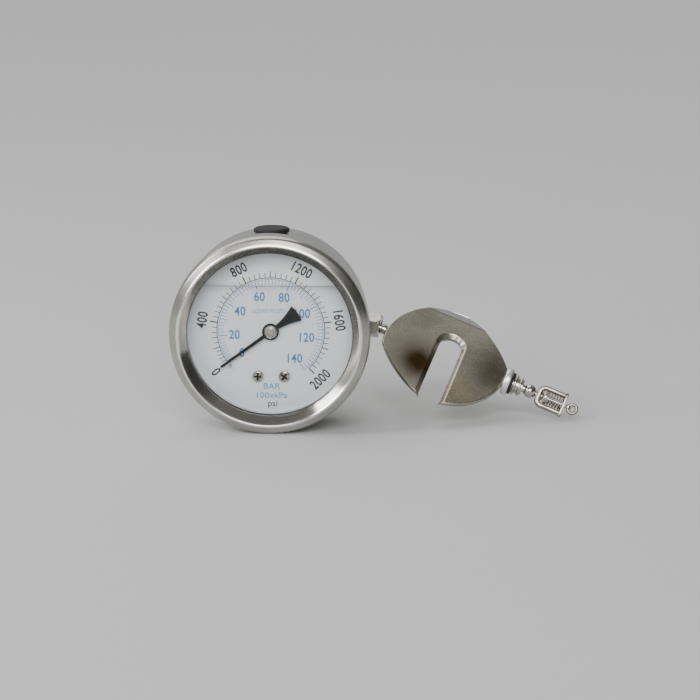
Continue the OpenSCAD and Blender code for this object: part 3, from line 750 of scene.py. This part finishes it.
bright = Finish("Bright_nickel", Metallic=1.0)
haze = bright.noise(180, 6, 0.65)
scratch = bright.noise(1.0, 3, 0.6, bright.stretched((3000, 400, 700)))
spots = bright.noise(420, 4, 0.6).ramp(0.62, 0.74)
clean = bright.mix(haze.ramp(0.35, 0.7), (0.46, 0.435, 0.385), (0.62, 0.60, 0.55))
bright.feed("Base Color", bright.mix(spots * 0.6, clean, (0.30, 0.23, 0.14)))
bright.feed("Roughness", haze * 0.12 + scratch * 0.06 + spots * 0.2 + 0.02)
bright.bump(scratch, 0.06, 0.00003)
bright.paint(nut, *nodes("stem_collar", "collar_screw"))


# ---- Ball stud --------------------------------------------------------------------------------
# The turned stud swivels in the seat by its ball, and its threaded stub is screwed into the rim
# of the slotted disc.

DISC_AT, DISC_R, DISC_T = 27.7, 22.8, 2.6
STUB_END = DISC_AT - DISC_R
BALL_R, NECK_R, STUB_R, ROOT_R, ROOT_H = 2.5, 1.4, 1.8, 0.9, 3.3
swing = np.linspace(0, np.pi - math.asin((NECK_R + 0.05) / BALL_R), 28)
ball_part = np.stack([BALL_R * np.sin(swing), -BALL_R * np.cos(swing)], -1)
stub = rounded([(NECK_R, 2.6, 0.3), (NECK_R, 3.2, 0.1), (STUB_R, 3.3, 0.12),
                (STUB_R, STUB_END - 0.06, 0.12), (ROOT_R, STUB_END - 0.05, 0.02),
                (ROOT_R, STUB_END + ROOT_H, 0.1), (0, STUB_END + ROOT_H, 0)], 5)
stud = spun("swivel_stud", np.vstack([ball_part, stub]), tail, 64)
fit(stud, "stud", "nickel", "ball_stud")
bright.paint(stud)


# ---- Slotted disc -----------------------------------------------------------------------------
# The holding disc is cut from plate: bevelled along two chords, its slot's front edge rolled
# in, and satin nickel plated. Brown, dark and warm patches and a pale top bevel are painted
# reflections on it, and a dark line under that bevel is painted shade.

DISC_ROLL = math.radians(31.5)
disc_side = math.cos(DISC_ROLL) * nod + math.sin(DISC_ROLL) * lift
disc_axes = np.array([along, disc_side, np.cross(along, disc_side)])
DISC_OFFSET, TOP_CHORD, RIM_DROP = -0.8, 18.3, 0.5
disc_frame = (put([DISC_AT, DISC_OFFSET, 0], (ball, disc_axes)), disc_axes)
FLATS, FLAT_R = ((50, 20.4), (232, 20.2)), 50
BEVELS = ((90, TOP_CHORD, 20), (50, 19.9, 40))
SLOT_HALF, SLOT_SPOT, LIP = 4.1, np.array([0.4, 5.5]), 1.3
RIM_T, RIM_BACK = 0.9, 2.0
lean = math.radians(3)
slot_turn = np.array([[math.cos(lean), math.sin(lean)], [-math.sin(lean), math.cos(lean)]])


def least(values, blend):
    """Soft least of several arrays: minus blend times the log of the summed exponentials."""
    low = np.minimum.reduce(values)
    return low - blend * np.log(sum(np.exp(-(value - low) / blend) for value in values))


def rim_radius(a):
    """Rim's distance from the disc's centre at the angle a: the least of the circle and of the
    two flatter arcs, each reach + root of (reach squared + R squared - its centre's distance
    squared)."""
    arcs = [DISC_R + 0 * a]
    for turn, out in FLATS:
        reach = (out - FLAT_R) * np.cos(a - math.radians(turn))
        arcs.append(reach + np.sqrt(reach ** 2 + FLAT_R ** 2 - (out - FLAT_R) ** 2))
    return np.minimum.reduce(arcs)


def from_rim(xy):
    """Distance inwards from the rim, along the radius."""
    return rim_radius(np.arctan2(xy[..., 1], xy[..., 0])) - np.hypot(xy[..., 0], xy[..., 1])


slot_run = np.linspace(0, -40, 8001)[:, None]
slot_feet = []
for side in (-1, 1):
    wall = SLOT_SPOT + (np.array([[side * SLOT_HALF, 0]]) + slot_run * [0, 1]) @ slot_turn
    slot_feet.append(float(slot_run[from_rim(wall) > 0].min()))


def slot_line(s):
    """Slot edge, s from 0 to 1: up one side, round the closed end, and down the other."""
    runs = [-slot_feet[0], np.pi * SLOT_HALF, -slot_feet[1]]
    d = s * sum(runs)
    turn = np.clip((d - runs[0]) / SLOT_HALF, 0, np.pi)
    x = -SLOT_HALF * np.cos(turn)
    y = SLOT_HALF * np.sin(turn) - np.maximum(runs[0] - d, 0) - np.maximum(d - runs[0] - runs[1], 0)
    return SLOT_SPOT + np.stack([x, y], -1) @ slot_turn


def rim_line(s):
    """Rim, s from 0 to 1: round the disc from one side of the slot's mouth to the other."""
    ends = slot_line(np.array([0.0, 1.0]))
    first, last = np.arctan2(ends[:, 1], ends[:, 0])
    a = first + 2 * np.pi + s * (last - first - 2 * np.pi)
    return rim_radius(a)[:, None] * np.stack([np.cos(a), np.sin(a)], -1)


def disc_front(xy):
    """Front height over the plate: the soft least of the flat, the bevel planes, the slot's lip
    and the worn rim, each falling with the distance past its edge."""
    planes = [DISC_T / 2 + 0 * xy[..., 0]]
    for turn, chord, slope in BEVELS:
        reach = xy @ [math.cos(math.radians(turn)), math.sin(math.radians(turn))]
        planes.append(DISC_T / 2 - (reach - chord) * math.tan(math.radians(slope)))
    u, w = np.moveaxis((xy - SLOT_SPOT) @ slot_turn.T, -1, 0)
    planes.append(DISC_T / 2 - LIP + np.where(w > 0, np.hypot(u, w), np.abs(u)) - SLOT_HALF)
    planes.append(DISC_T / 2 - RIM_DROP + 0.65 * np.sqrt(np.clip(from_rim(xy) / 0.5, 0, 1)))
    return least(planes, 0.08)


def plate(steps=640, across=120):
    """Plate over (s, v): v runs from the slot edge over the front to the rim, down its short wall,
    and back over a chamfer and a flat behind."""
    s = np.concatenate([[0], (1 - np.cos(np.pi * np.linspace(0.02, 0.98, steps))) / 2, [1]])
    s = 0.35 * s + 0.65 * np.linspace(0, 1, len(s))
    inner, outer = slot_line(s)[:, None], rim_line(s)[:, None]
    v = np.linspace(0, 1, across)
    v = (0.5 * v + 0.5 * (1 - np.cos(np.pi * v)) / 2)[None, :, None]
    xy = inner * (1 - v) + outer * v
    front_half = np.concatenate([xy, disc_front(xy)[..., None]], -1)
    shrunk = outer * (1 - RIM_BACK / np.linalg.norm(outer, axis=-1, keepdims=True))
    back = -DISC_T / 2
    behind = [(outer, DISC_T / 2 - RIM_DROP - RIM_T), (0.5 * outer + 0.5 * shrunk, back + 0.3),
              (shrunk, back), (0.9 * inner + 0.1 * shrunk, back), (inner, back + 0.15)]
    back_half = [np.concatenate([spot, 0 * spot[..., :1] + z], -1) for spot, z in behind]
    return put(np.concatenate([front_half, *back_half], 1), disc_frame)


TONGUE_END, TONGUE_HALF, TONGUE_L = 51.4, 2.6, 3.8
tongue_run = TONGUE_END - np.array([TONGUE_L, TONGUE_L, 0.15, 0, 0])
tongue_spine = ball + tongue_run[:, None] * along
tongue = swept(tongue_spine, disc_axes[1], disc_axes[2],
               oblong(TONGUE_HALF, DISC_T / 2, 14, 64), [0, 1, 1, 0.94, 0])
disc = shell("holding_disc", (plate(), False), (tongue, False), sharp=38)
fit(disc, "disc", "satin_nickel", "slotted_disc")


def near(finish, x, y, inner, outer):
    """1 close to a spot of the disc, falling to 0 between two distances, in millimetres."""
    spot = tuple(float(c) for c in put([x, y, DISC_T / 2], disc_frame) * MM)
    values = {0: finish.place(), 1: spot}
    distance = finish.node("ShaderNodeVectorMath", {"operation": "DISTANCE"}, values, out="Value")
    return 1 - distance.ramp(inner * MM, outer * MM)


satin = Finish("Satin_nickel", Metallic=1.0)
cloudy = satin.noise(45, 6, 0.6)
fine = satin.noise(600, 4, 0.6)
patch = satin.noise(95, 8, 0.68)
plate_tone = satin.mix(cloudy.ramp(0.3, 0.7), (0.40, 0.375, 0.31), (0.56, 0.53, 0.455))
mottled = patch.ramp(0.2, 0.6, 0.75, 1.0)
# Painted reflections: a brown patch on the left and a dark one on the right, both broken up by the mottled noise,
# and a warm patch lower down.
brown_reflection = (near(satin, -8.6, -5.0, 0, 15.0) * 0.75 + near(satin, -6.0, -12.0, 0, 13.0) * 0.6) * mottled
dark_reflection = (near(satin, 19.5, 4.5, 0, 14.0) * 0.7 + near(satin, 17.0, -4.0, 0, 12.0) * 0.4) * mottled
warm_reflection = near(satin, 8, -13, 1, 12)
tone = satin.mix(warm_reflection * 0.5, plate_tone, (0.52, 0.44, 0.26))
tone = satin.mix(brown_reflection, tone, (0.050, 0.027, 0.007))
tone = satin.mix(dark_reflection * 0.9, tone, (0.070, 0.058, 0.042))
centre_side = float(disc_frame[0] @ disc_side) * MM
up_disc = satin.node("ShaderNodeVectorMath", {"operation": "DOT_PRODUCT"},
                     {0: satin.place(), 1: tuple(map(float, disc_side))}, out="Value") - centre_side
# Painted reflection and shade: beyond TOP_CHORD the top bevel is pale grey, and a dark line runs just under it.
top_bevel_reflection = up_disc.ramp(TOP_CHORD * MM, (TOP_CHORD + 0.2) * MM)
bevel_edge_shade = up_disc.ramp((TOP_CHORD - 0.4) * MM, (TOP_CHORD - 0.05) * MM)
bevel_edge_shade = bevel_edge_shade * (1 - up_disc.ramp((TOP_CHORD + 0.05) * MM, (TOP_CHORD + 0.5) * MM))
tone = satin.mix(top_bevel_reflection, tone, (0.60, 0.60, 0.61))
satin.feed("Base Color", satin.mix(bevel_edge_shade * 0.85, tone, (0.10, 0.09, 0.07)))
satin.feed("Roughness", fine * 0.12 + cloudy * 0.14 + brown_reflection * 0.15 + 0.14)
satin.bump(fine * 0.4 + cloudy * 0.6, 0.10, 0.00008)
satin.paint(disc)


# ---- Neck -------------------------------------------------------------------------------------
# A bright band clamps the disc's tongue to the spindle. Behind it follow a rubber washer, two
# turned rings and a ball, and the yoke's bridge turns on the pivot behind the ball.

NECK_AT, NECK_W, BAND_R = 50.55, 2.3, 4.9
NECK_END = NECK_AT + NECK_W
band_profile = rounded([
    (0, NECK_AT, 0), (BAND_R - 0.25, NECK_AT, 0.2), (BAND_R, NECK_AT + 0.5, 0.4),
    (BAND_R, NECK_END - 0.5, 0.4), (BAND_R - 0.25, NECK_END, 0.2), (0, NECK_END, 0)], 7)
neck_band = spun("neck_band", band_profile, tail, 128)
fit(neck_band, "disc", "nickel", "neck_collar")
# Painted light: the band takes a paler copy of the nickel, so that it reads bright white.
grained("Lit_neck_band_nickel", (700, 4, 0.6), (0.84, 0.83, 0.80), (0.93, 0.92, 0.90), (0.12, 0.30),
        (0.08, 0.00003), Metallic=1.0).paint(neck_band)

SLEEVE_R, SLEEVE_FROM, SLEEVE_TO, SPINDLE_R = 2.8, NECK_END + 1, 57.5, 1.4


def rim_round(centre, r, half=0.5):
    """Round rim of a turned ring, standing on the sleeve."""
    a = np.linspace(-2.0, 2.0, 25)
    rim = np.stack([r - half + half * np.cos(a), centre + half * np.sin(a)], -1)
    return np.vstack([[[SLEEVE_R, centre - half]], rim, [[SLEEVE_R, centre + half]]])


hole = SPINDLE_R + 0.05
sleeve = np.vstack([
    [[hole, SLEEVE_FROM], [SLEEVE_R, SLEEVE_FROM]], rim_round(54.6, 3.7), rim_round(56.5, 3.4),
    rounded([(SLEEVE_R, 57.2, 0), (SLEEVE_R, SLEEVE_TO, 0.2), (hole, SLEEVE_TO, 0.05)], 5)])
neck_rings = spun("neck_sleeve", sleeve, tail, 96)
fit(neck_rings, "disc", "nickel", "neck_rings")

KNOB_AT, KNOB_R, PIVOT_R = 60.3, 2.4, 0.9
YOKE_AT, YOKE_BASE = 62.75, 2.0
first, last = math.asin(SPINDLE_R / KNOB_R), math.pi - math.asin(PIVOT_R / KNOB_R)
swing = np.linspace(first, last, 30)
knob = np.stack([KNOB_R * np.sin(swing), KNOB_AT - KNOB_R * np.cos(swing)], -1)
head_at = YOKE_AT + YOKE_BASE + 0.05
spindle_profile = np.vstack([
    rounded([(0, NECK_AT + 1.3, 0), (SPINDLE_R, NECK_AT + 1.3, 0), (SPINDLE_R, 58.0, 0.1)], 4),
    knob, rounded([(PIVOT_R, head_at, 0.05), (1.5, head_at, 0.1), (1.45, head_at + 0.4, 0.25),
                   (0.7, head_at + 0.7, 0.25), (0, head_at + 0.7, 0)], 5)])
spindle = spun("neck_stem", spindle_profile, tail, 80, sharp=35)
fit(spindle, "disc", "nickel", "neck_spindle")
bright.paint(neck_rings, spindle)


# ---- Yoke -------------------------------------------------------------------------------------
# The yoke is bent from thick strip into a U with a bored bridge. A plate is riveted across the
# ends of its arms, and the spring lies between them.

swing_axis = np.array(joints["ring_swing"]["axis"])
yoke_frame = (ball, np.array([along, swing_axis, np.cross(along, swing_axis)]))
ARM_END, YOKE_HALF, ARM_T, ARM_W = 72.7, 4.1, 1.6, 3.0
BEND_R = 1.9


def yoke_strip():
    """Strip along a U: down one arm, a quarter turn, the bridge, a quarter turn, up the other. Its
    thickness swells over the bridge, and its corners are a superellipse's."""
    y0, x0 = YOKE_HALF - ARM_T / 2, YOKE_AT + YOKE_BASE / 2
    bend = np.linspace(0, np.pi / 2, 14)
    arm = np.linspace(ARM_END, x0 + BEND_R, 12)
    side_x = np.concatenate([arm, x0 + BEND_R - BEND_R * np.sin(bend[1:])])
    side_y = np.concatenate([0 * arm + y0, y0 - BEND_R + BEND_R * np.cos(bend[1:])])
    bridge = np.linspace(1, -1, 13)[1:-1] * (y0 - BEND_R)
    x = np.concatenate([side_x, 0 * bridge + x0, side_x[::-1]])
    y = np.concatenate([side_y, bridge, -side_y[::-1]])
    dx, dy = np.gradient(x), np.gradient(y)
    size = np.hypot(dx, dy)
    normal = np.stack([-dy / size, dx / size], -1)
    share = np.clip((x0 + BEND_R - x) / BEND_R, 0, 1)
    half = ARM_T / 2 + share * (YOKE_BASE - ARM_T) / 2
    keep = np.concatenate([[0, 0], np.arange(len(x)), [len(x) - 1, len(x) - 1]])
    grow = np.concatenate([[0, 0.9], np.ones(len(x)), [0.9, 0]])
    x, y, normal, half = x[keep], y[keep], normal[keep], half[keep]
    x[[0, 1, -1, -2]] = ARM_END
    x[[2, -3]] = ARM_END - 0.12
    section = np.stack([oblong(1, ARM_W / 2, 3, 36)] * len(x))
    section[..., 0] *= half[:, None]
    spine = put(np.stack([x, y, 0 * x], -1), yoke_frame)
    side = put(np.stack([normal[:, 0], normal[:, 1], 0 * x], -1), (0, yoke_frame[1]))
    return swept(spine, side, yoke_frame[1][2], section, grow)


yoke = shell("plunger_yoke", (yoke_strip(), False), sharp=40)
fit(yoke, "yoke", "nickel", "yoke")

BAR_T, BAR_HALF_Y, BAR_HALF_Z, BAR_EDGE, RIVET_AT = 0.8, 4.4, 1.6, 0.12, 3.4


def bar_plate():
    """Thin oblong plate across the tail, drawn in at its faces' edges."""
    run = np.array([0, 0, BAR_EDGE, BAR_T - BAR_EDGE, BAR_T, BAR_T]) + ARM_END
    return swept(ball + run[:, None] * along, yoke_frame[1][1], yoke_frame[1][2],
                 oblong(BAR_HALF_Y, BAR_HALF_Z, 8, 64), [0, 0.97, 1, 1, 0.97, 0])


def rivet(y):
    """Flat domed rivet head in the plate's face."""
    moved = (put([0, y, 0], yoke_frame), yoke_frame[1])
    face = ARM_END + BAR_T
    return turned(rounded([(0, face - 0.3, 0), (0.55, face - 0.3, 0), (0.55, face + 0.03, 0.1),
                           (0.3, face + 0.14, 0.1), (0, face + 0.15, 0)], 5), moved, 28)


cross_bar = shell("yoke_end_plate", (bar_plate(), False), (rivet(RIVET_AT), True),
                  (rivet(-RIVET_AT), True), sharp=35)
fit(cross_bar, "yoke", "nickel", "cross_bar")


def coil(start, end, r, wire, turns, steps=360, around=12):
    """Round wire on a helix: centre (r cos a, r sin a) with the pitch eased flat at both ends."""
    t = np.linspace(0, 1, steps)
    a = 2 * np.pi * turns * t
    eased = np.clip((t * turns - 0.75) / (turns - 1.5), 0, 1)
    h = start + wire + (end - start - 2 * wire) * eased
    centre = np.stack([h, r * np.cos(a), r * np.sin(a)], -1)
    outward = np.stack([0 * a, np.cos(a), np.sin(a)], -1)
    b = circle(around)
    section = wire * np.stack([np.cos(b), np.sin(b)], -1)
    grow = np.concatenate([[0], np.ones(steps - 2), [0]])
    return put(swept(centre, outward, [1.0, 0, 0], section, grow), yoke_frame)


HEAD_AT, HEAD_W, HEAD_R = 65.8, 0.8, 2.3
SPRING_R, SPRING_WIRE, SPRING_TURNS, SPRING_GAP = 2.05, 0.24, 7, 0.05
wound = coil(HEAD_AT + HEAD_W + SPRING_GAP, ARM_END - SPRING_GAP, SPRING_R, SPRING_WIRE, SPRING_TURNS)
spring = shell("plunger_spring", (wound, False))
fit(spring, "yoke", "spring_steel", "yoke_spring")
grained("Spring_wire", (900, 4, 0.6), (0.38, 0.36, 0.31), (0.62, 0.60, 0.55), (0.2, 0.12),
        (0.1, 0.00003), Metallic=1.0).paint(spring)


# ---- Plunger and pull ring --------------------------------------------------------------------
# A turned head and rod slide in the yoke against the spring. A round wire ring through the rod's
# flattened eye pulls them back.

EYE_AT, ROD_R = 74.9, 0.6
plunger_profile = rounded([
    (0, HEAD_AT, 0), (HEAD_R - 0.3, HEAD_AT, 0.2), (HEAD_R, HEAD_AT + 0.2, 0.15),
    (HEAD_R, HEAD_AT + HEAD_W, 0.1), (ROD_R, HEAD_AT + HEAD_W, 0.1),
    (ROD_R, EYE_AT - 0.9, 0.1), (0, EYE_AT - 0.85, 0)], 6)
eye_axes = np.array([swing_axis, along, np.cross(swing_axis, along)])
eye_frame = (put([EYE_AT, 0, 0], yoke_frame), eye_axes)
EYE_R, EYE_HOLE_R, EYE_HALF = 1.14, 0.7, 0.48
eye_profile = rounded([(EYE_HOLE_R, -EYE_HALF, 0.05), (EYE_R, -EYE_HALF, 0.15),
                       (EYE_R, EYE_HALF, 0.15), (EYE_HOLE_R, EYE_HALF, 0.05)], 6)
plunger = shell("sprung_plunger", (turned(plunger_profile, yoke_frame, 64), True),
                (turned(eye_profile, eye_frame, 64), True), sharp=40)
fit(plunger, "plunger", "nickel", "plunger")

LOOP_R, LOOP_WIRE = 1.6, 0.58
loop_axes = np.array([yoke_frame[1][2], along, swing_axis])
loop_frame = (put([EYE_AT + LOOP_R, 0, 0], yoke_frame), loop_axes)
a = circle(24)
loop = np.stack([LOOP_R + LOOP_WIRE * np.cos(a), LOOP_WIRE * np.sin(a)], -1)
pull_ring = spun("pull_loop", loop, loop_frame, 80)
fit(pull_ring, "pull_ring", "nickel", "end_ring")
bright.paint(plunger)

# Painted shade: the yoke, end plate and pull ring take a darker copy of the nickel, so that they read dark between
# their highlights.
shaded_nickel = grained("Shaded_nickel", (300, 6, 0.65), (0.24, 0.215, 0.17), (0.42, 0.39, 0.33), (0.14, 0.10),
               (0.08, 0.00003), span=(0.35, 0.7), Metallic=1.0)
shaded_nickel.paint(yoke, cross_bar, pull_ring)


# ---- Table, light and camera ------------------------------------------------------------------
# The gauge stands on its bezel on a plain pale sweep, under soft lights and a dim room. The
# tail's end is about 0.7 mm clear of the table.

table_z = cad_box[0][2]
TABLE_HALF = 8.0
corners = [(x * TABLE_HALF, y * TABLE_HALF, table_z) for x, y in ((-1, -1), (1, -1), (1, 1), (-1, 1))]
table_mesh = bpy.data.meshes.new("table_top")
table_mesh.from_pydata(corners, [], [(0, 1, 2, 3)])
table = placed("table_top", table_mesh)
paper = Finish("Table_paper", Roughness=0.8, Specular_IOR_Level=0.1)
tone = paper.noise(4, 3, 0.5)
paper.feed("Base Color", paper.mix(tone, (0.54, 0.55, 0.545), (0.56, 0.57, 0.565)))
paper.paint(table)


def light(name, kind, spot, energy, **settings):
    """Soft light at a spot, turned to face the gauge. A sun is far away, in the spot's direction,
    and as wide as its angle."""
    lamp = bpy.data.lights.new(name, kind)
    lamp.energy = energy
    for key, value in settings.items():
        setattr(lamp, key, value)
    made = placed(name, lamp)
    made.location = spot
    made.rotation_euler = (-Vector(spot)).to_track_quat("-Z", "Y").to_euler()


light("Left_high_soft", "AREA", (-0.90, -0.30, 0.65), 6, shape="RECTANGLE", size=0.4, size_y=0.5)
light("Left_soft", "AREA", (-0.75, -0.95, 0.45), 4, shape="RECTANGLE", size=0.35, size_y=0.5)
light("Front_sky", "SUN", (0.05, -1.0, 0.60), 2.2, angle=math.radians(40))
light("Top_sky", "SUN", (-0.3, 0.5, 1.0), 1.25, angle=math.radians(60))


class Room(Finish):
    """The surroundings, as a Background shader of its own."""

    def __init__(self, world):
        world.use_nodes = True
        self.tree = world.node_tree
        self.shader = self.tree.nodes["Background"]


world = bpy.data.worlds.new("Studio")
room = Room(world)
toward = room.node("ShaderNodeTexCoord", out="Generated")
split = lambda letter: room.node("ShaderNodeSeparateXYZ", None, {0: toward}, out=letter)
ceiling = split("Z").ramp(0.35, 0.95)
facing = (0 - split("Y")).ramp(0.1, 0.9) * (1 - ceiling)
shade = room.mix(facing, (0.52, 0.53, 0.53), (0.10, 0.10, 0.095))
rightward = split("X").ramp(0.25, 0.8)
shade = room.mix(rightward * 0.9, shade, (0.03, 0.03, 0.028))
room.feed("Color", room.mix(ceiling, shade, (0.24, 0.235, 0.22)))
room.feed("Strength", 1.0)
bpy.context.scene.world = world

FOCAL, SENSOR = 3.314, 36
CAMERA_FAR = 0.795
SHIFT_RIGHT, SHIFT_UP = -0.1145, 0.0229
azimuth, elevation = math.radians(1.7), math.radians(12.3)
back = np.array([math.sin(azimuth) * math.cos(elevation), -math.cos(azimuth) * math.cos(elevation),
                 math.sin(elevation)])
right = np.array([math.cos(azimuth), math.sin(azimuth), 0])
top = np.cross(back, right)
aim_point = np.array([0, (front + 5.5) * MM, 0])
shift = (right * SHIFT_RIGHT + top * SHIFT_UP) / FOCAL * CAMERA_FAR
spot = aim_point + back * CAMERA_FAR - shift
lens = bpy.data.cameras.new("Camera")
lens.sensor_width = SENSOR
lens.lens = SENSOR * FOCAL
camera = placed("Camera", lens)
camera.matrix_world = Matrix([[*map(float, row), float(place)] for row, place in
                              zip(np.stack([right, top, back], 1), spot)] + [[0, 0, 0, 1]])
bpy.context.scene.camera = camera
